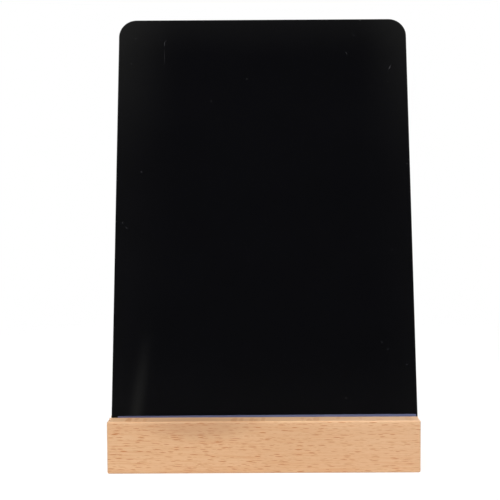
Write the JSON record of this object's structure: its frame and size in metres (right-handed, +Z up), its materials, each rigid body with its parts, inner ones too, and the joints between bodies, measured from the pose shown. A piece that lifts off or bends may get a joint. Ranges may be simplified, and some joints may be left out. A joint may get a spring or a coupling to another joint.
{
  "type": "tabletop chalkboard",
  "caption": "Small upright black board for a table: a glossy sheet with rounded top corners leans back in a slot sawn along the top of a pale beech block.",
  "frame": {"origin": "middle of the block's bottom face, the face that the board stands on", "axes": "+X along the block, to the right seen from the front; +Y from the front to the rear, the way the board leans; +Z up"},
  "size_m": [0.1487, 0.055, 0.2226],
  "materials": {
    "beech": "fine-sanded pale beech, satin, grain along the block with short darker flecks",
    "black_gloss_sheet": "black, polished to a mirror gloss, with faint hairline scratches",
    "shim_strip": "half-clear bluish plastic, satin, with a cut edge"
  },
  "bodies": {
    "base": {"base_block": "beech", "slot_shim": "shim_strip"},
    "board": {"board_panel": "black_gloss_sheet"}
  },
  "joints": [
    {"name": "board_lift", "type": "slide", "parent": "base", "child": "board", "axis": [0, 0.2079, 0.9781], "range_m": [0, 0.03]}
  ]
}
